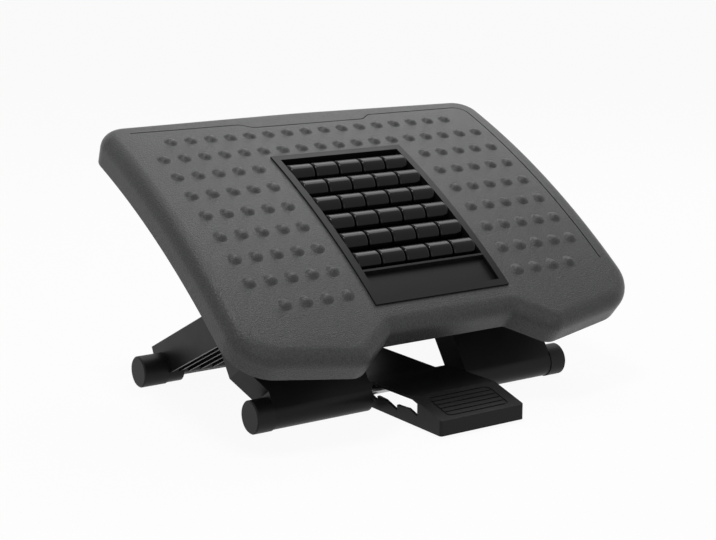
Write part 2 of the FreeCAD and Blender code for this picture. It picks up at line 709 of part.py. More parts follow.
def make_hinge_washers():
    """The friction washers between the knuckles on the hinge rod."""
    bore = HINGE_ROD_RADIUS + WASHER_GAP
    washers = []
    for name in ("washer_a", "washer_b", "washer_c"):
        washers += both_sides(ring(WASHER_RADIUS, bore, STACK[name], APEX))
    return Part.makeCompound(washers)


def make_hinge_rod():
    """The steel rod through all the knuckles."""
    reach = STACK["clip"][1] + ROD_END
    return x_cylinder(HINGE_ROD_RADIUS, -reach, reach, APEX.y, APEX.z)


def make_hinge_clips():
    """The push-on rings that keep the hinge rod in."""
    clip = ring(HINGE_CLIP_RADIUS, HINGE_ROD_RADIUS + CLIP_GAP, STACK["clip"], APEX)
    return Part.makeCompound(both_sides(clip))


def pedal_point(reach, height):
    """A point of the pedal's side view: distance forward of its pivot, height over the floor."""
    return REAR_TUBE_Y - reach, height


def leg_opening(step):
    """How far the front leg has swung when the lock rod is a number of notches forward."""
    arm = math.hypot(LOCK_ROD.y, LOCK_ROD.z - APEX_Z)
    base = math.hypot(REAR_TUBE_Y, CAP_RADIUS - APEX_Z)
    first = math.hypot(REAR_TUBE_Y - LOCK_ROD.y, LOCK_ROD.z - CAP_RADIUS)
    span = first + step * NOTCH_PITCH
    at_rest = math.acos((arm ** 2 + base ** 2 - first ** 2) / (2 * arm * base))
    opened = math.acos((arm ** 2 + base ** 2 - span ** 2) / (2 * arm * base))
    return opened - at_rest


def pedal_heading(opening):
    """Angle at the pedal's pivot between the hinge and the lock rod, for a leg opening."""
    arm = math.hypot(LOCK_ROD.y, LOCK_ROD.z - APEX_Z)
    base = math.hypot(REAR_TUBE_Y, CAP_RADIUS - APEX_Z)
    first = math.hypot(REAR_TUBE_Y - LOCK_ROD.y, LOCK_ROD.z - CAP_RADIUS)
    apex_angle = math.acos((arm ** 2 + base ** 2 - first ** 2) / (2 * arm * base)) + opening
    return math.atan2(arm * math.sin(apex_angle), base - arm * math.cos(apex_angle))


FULL_OPENING = leg_opening(NOTCHES - 1)
FOLLOW_RATIO = (pedal_heading(0) - pedal_heading(FULL_OPENING)) / FULL_OPENING


def rod_in_pedal(opening):
    """Where the lock rod stands in the pedal's rest frame once the leg has swung by an opening."""
    y, z = LOCK_ROD.y, LOCK_ROD.z - APEX_Z
    turned_y = y * math.cos(opening) + z * math.sin(opening)
    turned_z = -y * math.sin(opening) + z * math.cos(opening)
    y, z = turned_y - REAR_TUBE_Y, turned_z + APEX_Z - CAP_RADIUS
    back = -opening * FOLLOW_RATIO
    pedal_y = y * math.cos(back) + z * math.sin(back)
    pedal_z = -y * math.sin(back) + z * math.cos(back)
    return pedal_y + REAR_TUBE_Y, pedal_z + CAP_RADIUS


def pedal_top(reach):
    """Height of the pedal's top at a distance forward of its pivot."""
    if reach > PEDAL_CREST:
        fall = (PEDAL_CREST_HEIGHT - PEDAL_TIP_CLEARANCE - PEDAL_TIP_HEIGHT) / (PEDAL_TIP - PEDAL_CREST)
        return PEDAL_CREST_HEIGHT - fall * (reach - PEDAL_CREST)
    rise = (PEDAL_CREST_HEIGHT - PEDAL_STEP_HEIGHT) / (PEDAL_CREST - PEDAL_STEP)
    return PEDAL_STEP_HEIGHT + rise * (reach - PEDAL_STEP)


def notch_slot():
    """The toothed slot in the pedal's sides, as a block along X."""
    openings = [leg_opening(step * 0.25) for step in range(-1, 4 * (NOTCHES - 1) + 1)]
    path = [rod_in_pedal(max(opening, 0)) for opening in openings[1:]]
    floor = [(y, z - LOCK_ROD_RADIUS - NOTCH_CLEARANCE) for y, z in path]
    rear_y, rear_z = path[0]
    front_y, front_z = path[-1]
    rear_end = rear_y + LOCK_ROD_RADIUS + NOTCH_CLEARANCE
    front_end = front_y - LOCK_ROD_RADIUS - NOTCH_CLEARANCE
    lower = [(rear_end, floor[0][1])] + floor[1:-1] + [(front_end, floor[-1][1])]
    upper = []
    for reach in (REAR_TUBE_Y - front_end, PEDAL_CREST, REAR_TUBE_Y - rear_end):
        upper.append(pedal_point(reach, pedal_top(reach) - PEDAL_SKIN))
    if front_end > upper[1][0]:
        upper.pop(1)
    reach = 2 * PEDAL_HALF_WIDTH
    slot = prism(lower + upper, -reach, reach)
    notches = []
    for step in range(NOTCHES):
        y, z = rod_in_pedal(leg_opening(step))
        wall = y - LOCK_ROD_RADIUS - NOTCH_CLEARANCE
        top = z - LOCK_ROD_RADIUS - NOTCH_CLEARANCE
        notch = prism([
            (wall, top + NOTCH_CLEARANCE),
            (wall, top - NOTCH_DEPTH),
            (wall + NOTCH_SLOPE_RUN, top + NOTCH_CLEARANCE),
        ], -reach, reach)
        notches.append(notch)
    return slot.fuse(notches)


def make_pedal():
    """The foot pedal: an inverted trough with toothed side slots, a ribbed pad and a rear eye."""
    toe = pedal_point(PEDAL_TIP, PEDAL_TIP_CLEARANCE)
    brow = pedal_point(PEDAL_TIP, PEDAL_TIP_CLEARANCE + PEDAL_TIP_HEIGHT)
    crest = pedal_point(PEDAL_CREST, PEDAL_CREST_HEIGHT)
    step_top = pedal_point(PEDAL_STEP, PEDAL_STEP_HEIGHT)
    step_foot = pedal_point(PEDAL_STEP, PEDAL_ARM_FRONT_HEIGHT)
    arm_end = pedal_point(0, PEDAL_ARM_REAR_HEIGHT)
    eye_foot = pedal_point(0, CAP_RADIUS - PEDAL_EYE_RADIUS)
    heel = pedal_point(PEDAL_ARM_REAR, PEDAL_HEEL_CLEARANCE)
    profile = [toe, brow, crest, step_top, step_foot, arm_end, eye_foot, heel]
    outer = prism(profile, -PEDAL_HALF_WIDTH, PEDAL_HALF_WIDTH)
    nose = [edge for edge in outer.Edges if edge.BoundBox.YMax < toe[0] + 1 and edge.BoundBox.XLength < 1]
    outer = outer.makeFillet(PEDAL_CORNER_RADIUS, nose)
    eye = x_cylinder(PEDAL_EYE_RADIUS, -PEDAL_HALF_WIDTH, PEDAL_HALF_WIDTH, REAR_TUBE.y, REAR_TUBE.z)
    lowered = [(y, z - PEDAL_SKIN) for y, z in (brow, crest, step_top, step_foot, arm_end)]
    lowered[0] = (lowered[0][0] + PEDAL_WALL, lowered[0][1])
    lowered[2] = (lowered[2][0] - PEDAL_WALL, lowered[2][1])
    lowered[3] = (lowered[3][0] - PEDAL_WALL, lowered[3][1])
    floor = -PEDAL_EYE_RADIUS
    hollow = [(lowered[0][0], floor)] + lowered + [(lowered[-1][0], floor)]
    inner = PEDAL_HALF_WIDTH - PEDAL_WALL
    body = outer.cut(prism(hollow, -inner, inner)).fuse(eye)
    middle = box(-inner, inner, REAR_TUBE_Y - PEDAL_EYE_RADIUS, REAR_TUBE_Y + 2 * PEDAL_EYE_RADIUS, -99, 99)
    body = body.cut(middle)
    body = body.cut([notch_slot(), rod_hole(PIVOT_ROD_RADIUS, PIVOT_ROD_GAP, REAR_TUBE)])
    slope = math.atan2(crest[1] - brow[1], crest[0] - brow[0])
    face_length = math.hypot(crest[0] - brow[0], crest[1] - brow[1])
    grip = placed_along(pad_grooves(face_length), V(0, *brow), math.degrees(slope))
    return one_solid(body.cut(grip))


def pad_grooves(face_length):
    """The cut of the pedal's grip: parallel grooves in a rounded frame, along +Y from the brow."""
    pitch = face_length / (PEDAL_GROOVES + 1)
    half = PEDAL_HALF_WIDTH - PEDAL_PAD_MARGIN
    half_groove = PEDAL_GROOVE_WIDTH / 2
    frames = []
    for side in (half_groove, -half_groove):
        block = box(-half - side, half + side, pitch - side, face_length - pitch + side,
                    -PEDAL_GROOVE_DEPTH, PEDAL_WALL)
        upright = [edge for edge in block.Edges if edge.Length == edge.BoundBox.ZLength]
        frames.append(block.makeFillet(PEDAL_PAD_CORNER + side, upright))
    cut = frames[0].cut(frames[1])
    bars = []
    for index in range(2, PEDAL_GROOVES):
        along = index * pitch
        bars.append(box(-half, half, along - half_groove, along + half_groove,
                        -PEDAL_GROOVE_DEPTH, PEDAL_WALL))
    return cut.fuse(bars)


def make_lock_rod():
    """The rod across the wings that the pedal's notches hold."""
    reach = WING_GAP_HALF + LOCK_ROD_SEAT - SIDE_GAP
    return x_cylinder(LOCK_ROD_RADIUS, -reach, reach, LOCK_ROD.y, LOCK_ROD.z)


def make_pivot_rod():
    """The rod across the rear tubes that the pedal turns on."""
    reach = WING_GAP_HALF + PIVOT_SEAT - SIDE_GAP
    return x_cylinder(PIVOT_ROD_RADIUS, -reach, reach, REAR_TUBE.y, REAR_TUBE.z)


def make_pivot_spacers():
    """Sleeves on the pivot rod that keep the pedal midway between the rear wings."""
    gap = (PEDAL_HALF_WIDTH + SIDE_GAP, WING_GAP_HALF - SIDE_GAP)
    sleeve = ring(SPACER_RADIUS, PIVOT_ROD_RADIUS + PIVOT_ROD_GAP, gap, REAR_TUBE)
    return Part.makeCompound(both_sides(sleeve))


def make_pedal_spring():
    """The return spring's close turns, on the pivot rod between the pedal's sides."""
    bore = PIVOT_ROD_RADIUS + SPRING_GAP
    outside = bore + 2 * SPRING_WIRE_RADIUS
    groove = outside - SPRING_WIRE_RADIUS
    start = -SPRING_TURNS * SPRING_WIRE_RADIUS
    outline = [V(start, 0, bore), V(start, 0, groove)]
    for turn in range(SPRING_TURNS):
        middle = start + (2 * turn + 1) * SPRING_WIRE_RADIUS
        outline += [V(middle, 0, outside), V(middle + SPRING_WIRE_RADIUS, 0, groove)]
    outline += [V(-start, 0, bore), V(start, 0, bore)]
    coil = Part.Face(Part.makePolygon(outline)).revolve(V(0, 0, 0), X_AXIS, 360)
    coil.translate(REAR_TUBE)
    return coil


PIECES = {}


def keep(name, shape):
    """Store a finished piece under its node's name."""
    PIECES[name] = shape


def keep_pair(name, right):
    """Store a right-hand piece and its mirror image."""
    keep(name + "_right", right)
    keep(name + "_left", mirrored(right))


def build():
    """Make every piece about the main hinge."""
    keep("rear_leg", make_rear_leg())
    keep_pair("rear_cap", make_cap(REAR_LEG_HALF_WIDTH, REAR_CAP_LENGTH, REAR_TUBE))
    keep("front_leg", make_front_leg())
    keep_pair("front_cap", make_cap(FRONT_LEG_HALF_WIDTH - FRONT_SIDE_CUT, FRONT_CAP_LENGTH, FRONT_TUBE))
    keep("lock_rod", make_lock_rod())
    keep("hinge_rod", make_hinge_rod())
    keep("hinge_washers", make_hinge_washers())
    keep("hinge_clips", make_hinge_clips())
    keep("pedal", make_pedal())
    keep("pivot_rod", make_pivot_rod())
    keep("pivot_spacers", make_pivot_spacers())
    keep("pedal_spring", make_pedal_spring())
    keep("footplate", to_world(make_footplate()))
    keep_pair("hinge_bracket", to_world(make_bracket()))
    keep("bracket_screws", to_world(make_bracket_screws()))
    keep("roller_tray", to_world(make_tray()))
    keep("roller_axles", to_world(make_axles()))
    for row in range(ROLLER_ROWS):
        for column in range(ROLLERS_A_ROW):
            roller = to_world(make_roller(row, column))
            keep("roller_r%d_c%d" % (row + 1, column + 1), roller)


def centre_on_floor():
    """Move every piece so that the origin is under the middle of the bounding box."""
    boxes = [shape.optimalBoundingBox(False, False) for shape in PIECES.values()]
    whole = boxes[0]
    for other in boxes[1:]:
        whole.add(other)
    shift = V(-(whole.XMin + whole.XMax) / 2, -(whole.YMin + whole.YMax) / 2, -whole.ZMin)
    for shape in PIECES.values():
        shape.translate(shift)
    return shift


if __name__ == "__main__":
    build()
    shift = centre_on_floor()
    print("shift", round(shift.x, 4), round(shift.y, 4), round(shift.z, 4))
    print("main hinge", APEX + shift, "pedal pivot", REAR_TUBE + shift)
    print("opening", round(math.degrees(FULL_OPENING), 4), "follow ratio", round(FOLLOW_RATIO, 5))
    os.makedirs("parts", exist_ok=True)
    for name, shape in PIECES.items():
        if not shape.isValid():
            print("not valid:", name)
        shape.exportStep("parts/" + name + ".step")
    print(len(PIECES), "pieces")
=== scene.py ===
"""Looks of the tilting under desk footrest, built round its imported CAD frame.

Most of the frame's own pieces are shown as they are, under the finish of their slot. The
footplate and the rollers get finer meshes here, with a rounded shoulder, domed studs, a
moulded line and polished barrels. Lengths are in metres and angles in radians.
"""

import json
import logging
import math
from dataclasses import dataclass, field
from enum import Enum

import bmesh
import bpy
from mathutils import Matrix, Vector

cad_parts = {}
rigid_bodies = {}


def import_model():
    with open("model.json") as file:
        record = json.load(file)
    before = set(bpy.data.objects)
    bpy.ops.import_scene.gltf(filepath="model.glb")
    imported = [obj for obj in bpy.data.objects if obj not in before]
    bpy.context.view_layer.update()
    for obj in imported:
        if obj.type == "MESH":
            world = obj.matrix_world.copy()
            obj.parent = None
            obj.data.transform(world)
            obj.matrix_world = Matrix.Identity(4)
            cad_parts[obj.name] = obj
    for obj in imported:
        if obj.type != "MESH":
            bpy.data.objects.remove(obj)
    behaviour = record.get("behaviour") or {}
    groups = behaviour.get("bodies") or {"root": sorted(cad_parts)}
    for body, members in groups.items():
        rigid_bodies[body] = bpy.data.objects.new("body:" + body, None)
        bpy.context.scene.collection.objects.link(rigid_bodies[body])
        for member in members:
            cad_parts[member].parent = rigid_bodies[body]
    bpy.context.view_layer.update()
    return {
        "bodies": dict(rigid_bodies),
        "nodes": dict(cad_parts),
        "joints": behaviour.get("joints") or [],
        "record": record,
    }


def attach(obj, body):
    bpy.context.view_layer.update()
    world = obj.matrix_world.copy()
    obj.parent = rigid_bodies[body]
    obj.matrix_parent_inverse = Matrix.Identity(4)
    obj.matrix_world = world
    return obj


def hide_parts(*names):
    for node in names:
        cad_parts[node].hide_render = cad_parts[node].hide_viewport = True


LOG = logging.getLogger("footrest")
MM = 0.001
SMOOTH_ANGLE = math.radians(32)
MERGE_DISTANCE = 1e-7
CUT_TOLERANCE = 1e-6
GRAIN_DETAIL = 2.0
GRAIN_ROUGHNESS = 0.55
# Grain heights over which the painted shade between the grain's tops turns to painted light on
# them.
PAINTED_SHADING_BAND = (0.35, 0.65)
CLOUD_SCALE = 60.0
CLOUD_DETAIL = 3.0


class Slot(Enum):
    """The record's material slots that the pieces take their finish from."""

    PLATE = "plate_plastic"
    LEG = "leg_plastic"
    BRACKET = "bracket_plastic"
    TRAY = "tray_plastic"
    ROLLER = "roller_plastic"
    CAP = "cap_rubber"
    WASHER = "washer_plastic"
    STEEL = "steel"


@dataclass(frozen=True)
class Finish:
    """One surface finish, with its grain as a bump on the shader.

    Attributes:
        slot: The record's slot that the finish belongs to.
        color: Linear base colour.
        roughness: Roughness of the shader.
        metallic: 1 for bare metal.
        specular: Specular level of the shader.
        grain_size: Width of one grain, 0 for none.
        grain_depth: Height of the grain.
        painted_grain_shading: How far painted light lifts the colour on the grain's tops and
            painted shade lowers it between them.
        mottle: How far the roughness wanders across the surface.
    """

    slot: Slot
    color: tuple[float, float, float]
    roughness: float
    metallic: float = 0.0
    specular: float = 0.5
    grain_size: float = 0.0
    grain_depth: float = 0.0
    painted_grain_shading: float = 0.0
    mottle: float = 0.0

    def material(self, name: str) -> bpy.types.Material:
        """Build the finish as a node material.

        Args:
            name: The material's name.

        Returns:
            The new material.
        """
        made = bpy.data.materials.new(name)
        made.use_nodes = True
        tree = made.node_tree
        shader = tree.nodes["Principled BSDF"]
        shader.inputs["Base Color"].default_value = (*self.color, 1.0)
        shader.inputs["Roughness"].default_value = self.roughness
        shader.inputs["Metallic"].default_value = self.metallic
        shader.inputs["Specular IOR Level"].default_value = self.specular
        place = tree.nodes.new("ShaderNodeTexCoord").outputs["Object"]
        if self.grain_size:
            grain = self.noise(tree, place, 1.0 / self.grain_size, GRAIN_DETAIL)
            grain.inputs["Roughness"].default_value = GRAIN_ROUGHNESS
            self.raise_grain(tree, shader, grain.outputs["Fac"])
            # The grain also gets painted light and shade in its colour: lighter tops, darker
            # hollows.
            if self.painted_grain_shading:
                self.paint_grain_shading(tree, shader, grain.outputs["Fac"])
        if self.mottle:
            cloud = self.noise(tree, place, CLOUD_SCALE, CLOUD_DETAIL)
            self.vary_roughness(tree, shader, cloud.outputs["Fac"])
        return made

    @staticmethod
    def noise(tree: bpy.types.NodeTree, place: bpy.types.NodeSocket, scale: float,
              detail: float) -> bpy.types.Node:
        """Add a noise texture on the object's own coordinates.

        Args:
            tree: The material's node tree.
            place: The socket that holds the coordinates.
            scale: Waves a metre.
            detail: Octaves of finer noise.

        Returns:
            The texture's node.
        """
        made = tree.nodes.new("ShaderNodeTexNoise")
        made.inputs["Scale"].default_value = scale
        made.inputs["Detail"].default_value = detail
        tree.links.new(place, made.inputs["Vector"])
        return made

    def raise_grain(self, tree: bpy.types.NodeTree, shader: bpy.types.Node,
                    grain: bpy.types.NodeSocket) -> None:
        """Show the grain as a bump.

        Args:
            tree: The material's node tree.
            shader: Its shader.
            grain: The grain's height.
        """
        bump = tree.nodes.new("ShaderNodeBump")
        bump.inputs["Strength"].default_value = 1.0
        bump.inputs["Distance"].default_value = self.grain_depth
        tree.links.new(grain, bump.inputs["Height"])
        tree.links.new(bump.outputs["Normal"], shader.inputs["Normal"])

    def paint_grain_shading(self, tree: bpy.types.NodeTree, shader: bpy.types.Node,
                   grain: bpy.types.NodeSocket) -> None:
        """Paint light on the grain's tops and shade in the hollows between them, in the base
        colour.

        Args:
            tree: The material's node tree.
            shader: Its shader.
            grain: The grain's height.
        """
        # Painted light and shade: the base colour is lightened on the grain's tops and darkened in
        # the hollows between them.
        tops = tree.nodes.new("ShaderNodeMapRange")
        tops.inputs["From Min"].default_value, tops.inputs["From Max"].default_value = PAINTED_SHADING_BAND
        tree.links.new(grain, tops.inputs["Value"])
        painted_shading = tree.nodes.new("ShaderNodeMix")
        painted_shading.data_type = "RGBA"
        for socket, share in (("A", 1 - self.painted_grain_shading), ("B", 1 + self.painted_grain_shading)):
            painted_shading.inputs[socket].default_value = (*(part * share for part in self.color), 1.0)
        tree.links.new(tops.outputs["Result"], painted_shading.inputs["Factor"])
        tree.links.new(painted_shading.outputs["Result"], shader.inputs["Base Color"])

    def vary_roughness(self, tree: bpy.types.NodeTree, shader: bpy.types.Node,
                       cloud: bpy.types.NodeSocket) -> None:
        """Let the roughness wander over the surface.

        Args:
            tree: The material's node tree.
            shader: Its shader.
            cloud: The noise that it follows.
        """
        spread = tree.nodes.new("ShaderNodeMapRange")
        spread.inputs["To Min"].default_value = self.roughness - self.mottle
        spread.inputs["To Max"].default_value = self.roughness + self.mottle
        tree.links.new(cloud, spread.inputs["Value"])
        tree.links.new(spread.outputs["Result"], shader.inputs["Roughness"])


FINISHES = (
    # The plate's grain carries painted light and shade in its colour as well as its bump.
    Finish(Slot.PLATE, (0.043, 0.0435, 0.045), 0.36, specular=0.26, grain_size=1.3 * MM,
           grain_depth=0.55 * MM, painted_grain_shading=0.3, mottle=0.05),
    Finish(Slot.LEG, (0.0085, 0.0085, 0.009), 0.4, specular=0.16, grain_size=0.5 * MM,
           grain_depth=0.02 * MM, mottle=0.06),
    Finish(Slot.BRACKET, (0.015, 0.015, 0.016), 0.5, specular=0.2, grain_size=0.5 * MM,
           grain_depth=0.02 * MM),
    Finish(Slot.TRAY, (0.009, 0.009, 0.0095), 0.36, specular=0.1, mottle=0.05),
    Finish(Slot.ROLLER, (0.0025, 0.0025, 0.0027), 0.17, specular=0.17, mottle=0.03),
    Finish(Slot.CAP, (0.008, 0.008, 0.008), 0.5, specular=0.2, grain_size=0.6 * MM,
           grain_depth=0.03 * MM),
    Finish(Slot.WASHER, (0.03, 0.03, 0.031), 0.45),
    Finish(Slot.STEEL, (0.42, 0.42, 0.43), 0.3, metallic=1.0, mottle=0.06),
)
SKIRT_FINISH = Finish(Slot.PLATE, (0.04, 0.0405, 0.042), 0.48, specular=0.2, mottle=0.04)


@dataclass
class Workshop:
    """Turns finished bmeshes into pieces that ride on the frame's bodies.

    Attributes:
        materials: The material of each slot.
    """

    materials: dict[Slot, bpy.types.Material] = field(default_factory=dict)

    def mix_finishes(self) -> None:
        """Make every finish's material."""
        for finish in FINISHES:
            self.materials[finish.slot] = finish.material(finish.slot.value)

    def dress(self, thing: bpy.types.Object, slot: Slot) -> None:
        """Give an object one slot's material.

        Args:
            thing: The object.
            slot: The slot to take the material from.
        """
        thing.data.materials.clear()
        thing.data.materials.append(self.materials[slot])

    def piece(self, name: str, shape: bmesh.types.BMesh, slot: Slot, body: str,
              stands_for: tuple[str, ...] = ()) -> bpy.types.Object:
        """Make an object of a bmesh, dress it and let it ride on a body.

        Args:
            name: The piece's name.
            shape: The finished bmesh, in the row frame. It is freed.
            slot: The slot that it takes its finish from.
            body: The CAD body that it rides on.
            stands_for: The CAD nodes that it replaces.

        Returns:
            The new object.
        """
        mesh = bpy.data.meshes.new(name)
        shape.to_mesh(mesh)
        shape.free()
        mesh.shade_smooth()
        mesh.set_sharp_from_angle(angle=SMOOTH_ANGLE)
        made = bpy.data.objects.new(name, mesh)
        bpy.context.scene.collection.objects.link(made)
        self.dress(made, slot)
        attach(made, body)
        if stands_for:
            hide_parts(*stands_for)
        LOG.info("%s: %d faces on %s", name, len(mesh.polygons), body)
        return made


@dataclass(frozen=True)
class PlateFrame:
    """The footplate's own frame: x across, t towards the rear and n out of its crest.

    Attributes:
        hinge: The main hinge's place in the row frame, y and z.
        tilt: The plate's tilt at rest, in radians.
        crest_rearward: How far the crest lies behind the hinge, along the plate.
        crest_height: How far the crest lies above the hinge, square to the plate.
        arch_radius: Radius of the arched top.
    """

    hinge: tuple[float, float] = (6.1336 * MM, 109.7025 * MM)
    tilt: float = math.radians(29.8)
    crest_rearward: float = 40.6 * MM
    crest_height: float = 71.9 * MM
    arch_radius: float = 955.0 * MM

    def matrix(self) -> Matrix:
        """The transform from the plate's frame to the row frame."""
        place = Matrix.Translation((0, self.hinge[0], self.hinge[1]))
        turn = Matrix.Rotation(self.tilt, 4, "X")
        crest = Matrix.Translation((0, self.crest_rearward, self.crest_height))
        return place @ turn @ crest

    def on_tangent(self, s: float) -> float:
        """Where the radial line through an arc length s crosses the crest's tangent plane."""
        return self.arch_radius * math.tan(s / self.arch_radius)

    def along(self, s: float) -> Matrix:
        """The turn that carries a shape on the crest to an arc length s along the arch."""
        centre = Matrix.Translation((0, 0, -self.arch_radius))
        turn = Matrix.Rotation(-s / self.arch_radius, 4, "X")
        return centre @ turn @ centre.inverted()

    def bend(self, shape: bmesh.types.BMesh) -> None:
        """Sink every vertex of a flat-drawn shape onto the arch, and place it in the row frame.

        Args:
            shape: The shape, drawn on the crest's tangent plane. Its z is its height over the
                arched top, square to the arch.
        """
        for vert in shape.verts:
            angle = math.atan(vert.co.y / self.arch_radius)
            reach = self.arch_radius + vert.co.z
            vert.co.y = reach * math.sin(angle)
            vert.co.z = reach * math.cos(angle) - self.arch_radius
        bmesh.ops.transform(shape, matrix=self.matrix(), verts=shape.verts)


def bisect(shape: bmesh.types.BMesh, point: tuple[float, float, float],
           normal: tuple[float, float, float]) -> None:
    """Cut every face of a shape along a plane, keeping both sides.

    Args:
        shape: The shape.
        point: A point of the plane.
        normal: The plane's normal.
    """
    geometry = list(shape.verts) + list(shape.edges) + list(shape.faces)
    bmesh.ops.bisect_plane(shape, geom=geometry, dist=CUT_TOLERANCE, plane_co=point,
                           plane_no=normal)


def loop_edges(shape: bmesh.types.BMesh, points: list[tuple[float, float]],
               z: float = 0.0) -> list[bmesh.types.BMEdge]:
    """Draw a closed loop of edges at one height.

    Args:
        shape: The bmesh that it is drawn in.
        points: The corners in order.
        z: The height.

    Returns:
        The loop's edges.
    """
    verts = [shape.verts.new((x, y, z)) for x, y in points]
    return [shape.edges.new((a, b)) for a, b in zip(verts, verts[1:] + verts[:1])]


def rounded_corners(corners: list[tuple[float, float, float]],
                    step: float) -> list[tuple[float, float]]:
    """Round off a polygon's corners.

    Args:
        corners: x, y and radius of each corner.
        step: The largest turn between two points of a round, in radians.

    Returns:
        The rounded outline's points.
    """
    outline = []
    count = len(corners)
    for index, (x, y, radius) in enumerate(corners):
        here = Vector((x, y))
        before = (Vector(corners[index - 1][:2]) - here).normalized()
        after = (Vector(corners[(index + 1) % count][:2]) - here).normalized()
        half = before.angle(after) / 2
        middle = (before + after).normalized()
        centre = here + middle * (radius / math.sin(half))
        start = here + before * (radius / math.tan(half)) - centre
        turn = math.pi - 2 * half
        side = 1 if before.x * after.y - before.y * after.x < 0 else -1
        pieces = max(2, math.ceil(turn / step))
        for piece in range(pieces + 1):
            spoke = start.copy()
            spoke.rotate(Matrix.Rotation(side * turn * piece / pieces, 2))
            outline.append(tuple(centre + spoke))
    return outline


def spun(profile: list[tuple[float, float, float]], axis: tuple[float, float, float],
         steps: int) -> bmesh.types.BMesh:
    """Spin a profile about an axis through the origin.

    Args:
        profile: The profile's points, in order along the axis.
        axis: The axis.
        steps: The number of steps round.

    Returns:
        The turned shape, closed where the profile meets the axis.
    """
    shape = bmesh.new()
    verts = [shape.verts.new(point) for point in profile]
    edges = [shape.edges.new(pair) for pair in zip(verts, verts[1:])]
    bmesh.ops.spin(shape, geom=verts + edges, cent=(0, 0, 0), axis=axis, angle=2 * math.pi,
                   steps=steps, use_merge=True)
    bmesh.ops.remove_doubles(shape, verts=shape.verts, dist=MERGE_DISTANCE)
    bmesh.ops.recalc_face_normals(shape, faces=shape.faces)
    return shape


@dataclass
class Footplate:
    """The arched, studded plate, replacing the CAD node with a rounded moulding.

    Attributes:
        shop: Makes the pieces.
        frame: The plate's own frame.
        half_width: Half the plate's width.
        rear_edge: The rear edge's place in the middle, on the crest's tangent plane.
        rear_bow: How far the rear edge has come forward at its ends.
        rear_bow_radius: Radius of the round in the middle of the rear edge.
        front_outer_edge: The front edge's place at the outer corners.
        lobe_edge: The front edge's place where the two lobes reach furthest.
        lobe_x: How far from the middle they do so.
        recess_edge: The front edge's place in the recess over the pedal.
        recess_x: Half the recess's width.
        rear_corner: Radius of the plan's rear corners.
        front_corner: Radius of its front corners.
        lobe_corner: Radius where the lobes turn to the recess.
        recess_corner: Radius at the recess's inner corners.
        corner_turn: The largest turn between two points of a round.
        skirt: Depth of the skirt below the arched top.
        shoulder: Radius of the shoulder between top and skirt.
        wall: Thickness of the moulding.
        steps: Steps round the shoulder.
        smooth_steps: How many of them, from the skirt upwards, carry no grain.
        strip: Spacing of the cuts that let the flat-drawn top follow the arch.
        opening_x: Half the width of the tray's opening.
        opening_rear: The opening's rear edge.
        opening_front: The opening's front edge.
        stud_radius: Radius of a stud's dome where it leaves its foot.
        stud_height: Height of a stud.
        stud_foot: Radius of the soft foot round it.
        stud_foot_rise: Height at which the foot starts.
        stud_foot_spread: Radius at which it starts, as a share of the dome's.
        stud_foot_sink: How deep its outer edge lies in the plate.
        stud_rings: Rings of faces on the dome.
        stud_sides: Faces round a stud.
        stud_pitch_x: Spacing of the studs across the plate.
        stud_pitch_t: Spacing of their rows along the arch.
        stud_rows: Rows of studs.
        stud_columns: Studs in a full row.
        stud_side_columns: Studs on either side of the tray.
        full_rows: How many rows, from the rear, run behind the tray.
        line_x: The moulded line's place along the right side.
        line_left: Where it starts on the left.
        line_rear: Its arc length along the rear, beside the middle stretch.
        line_middle: Its arc length on the middle stretch.
        line_front: The arc length at which it ends, on the right side.
        line_jog: Where it leaves and rejoins the rear on either side of the middle stretch.
        line_jog_round: Radius of the rounds there.
        line_corner: Radius of its rear right corner.
        line_turn: The largest turn between two points of its rounds.
        line_width: Its width.
        line_depth: Its depth.
    """

    shop: Workshop
    frame: PlateFrame
    half_width: float = 227.5 * MM
    rear_edge: float = 172.0 * MM
    rear_bow: float = 4.5 * MM
    rear_bow_radius: float = 1500.0 * MM
    front_outer_edge: float = 173.5 * MM
    lobe_edge: float = 195.5 * MM
    lobe_x: float = 109.0 * MM
    recess_edge: float = 165.5 * MM
    recess_x: float = 70.0 * MM
    rear_corner: float = 29.0 * MM
    front_corner: float = 46.0 * MM
    lobe_corner: float = 20.0 * MM
    recess_corner: float = 8.0 * MM
    corner_turn: float = math.radians(6)
    skirt: float = 30.5 * MM
    shoulder: float = 15.0 * MM
    wall: float = 3.2 * MM
    steps: int = 9
    smooth_steps: int = 2
    strip: float = 9.0 * MM
    opening_x: float = 72.4 * MM
    opening_rear: float = 73.2 * MM
    opening_front: float = 134.4 * MM
    stud_radius: float = 6.2 * MM
    stud_height: float = 3.4 * MM
    stud_foot: float = 7.6 * MM
    stud_foot_rise: float = 0.25 * MM
    stud_foot_spread: float = 1.04
    stud_foot_sink: float = 0.1 * MM
    stud_rings: int = 5
    stud_sides: int = 20
    stud_pitch_x: float = 22.0 * MM
    stud_pitch_t: float = 30.2 * MM
    stud_rows: int = 9
    stud_columns: int = 18
    stud_side_columns: int = 5
    full_rows: int = 2
    line_x: float = 205.0 * MM
    line_left: float = -198.0 * MM
    line_rear: float = 144.0 * MM
    line_middle: float = 136.0 * MM
    line_front: float = -122.0 * MM
    line_jog: tuple[float, float, float, float] = (-77.0 * MM, -64.0 * MM, 69.0 * MM, 80.0 * MM)
    line_jog_round: float = 6.0 * MM
    line_corner: float = 14.0 * MM
    line_turn: float = math.radians(15)
    line_width: float = 1.3 * MM
    line_depth: float = 1.6 * MM

    def outline(self) -> list[tuple[float, float]]:
        """The plan outline, anticlockwise from the rear right corner."""
        right = [
            (self.half_width, -self.front_outer_edge, self.front_corner),
            (self.lobe_x, -self.lobe_edge, self.lobe_corner),
            (self.recess_x, -self.recess_edge, self.recess_corner),
        ]
        left = [(-x, t, radius) for x, t, radius in reversed(right)]
        rear = self.rear_edge - self.rear_bow
        corners = [(0, self.rear_edge, self.rear_bow_radius),
                   (self.half_width, rear, self.rear_corner)]
        corners += right + left + [(-self.half_width, rear, self.rear_corner)]
        return rounded_corners(corners, self.corner_turn)

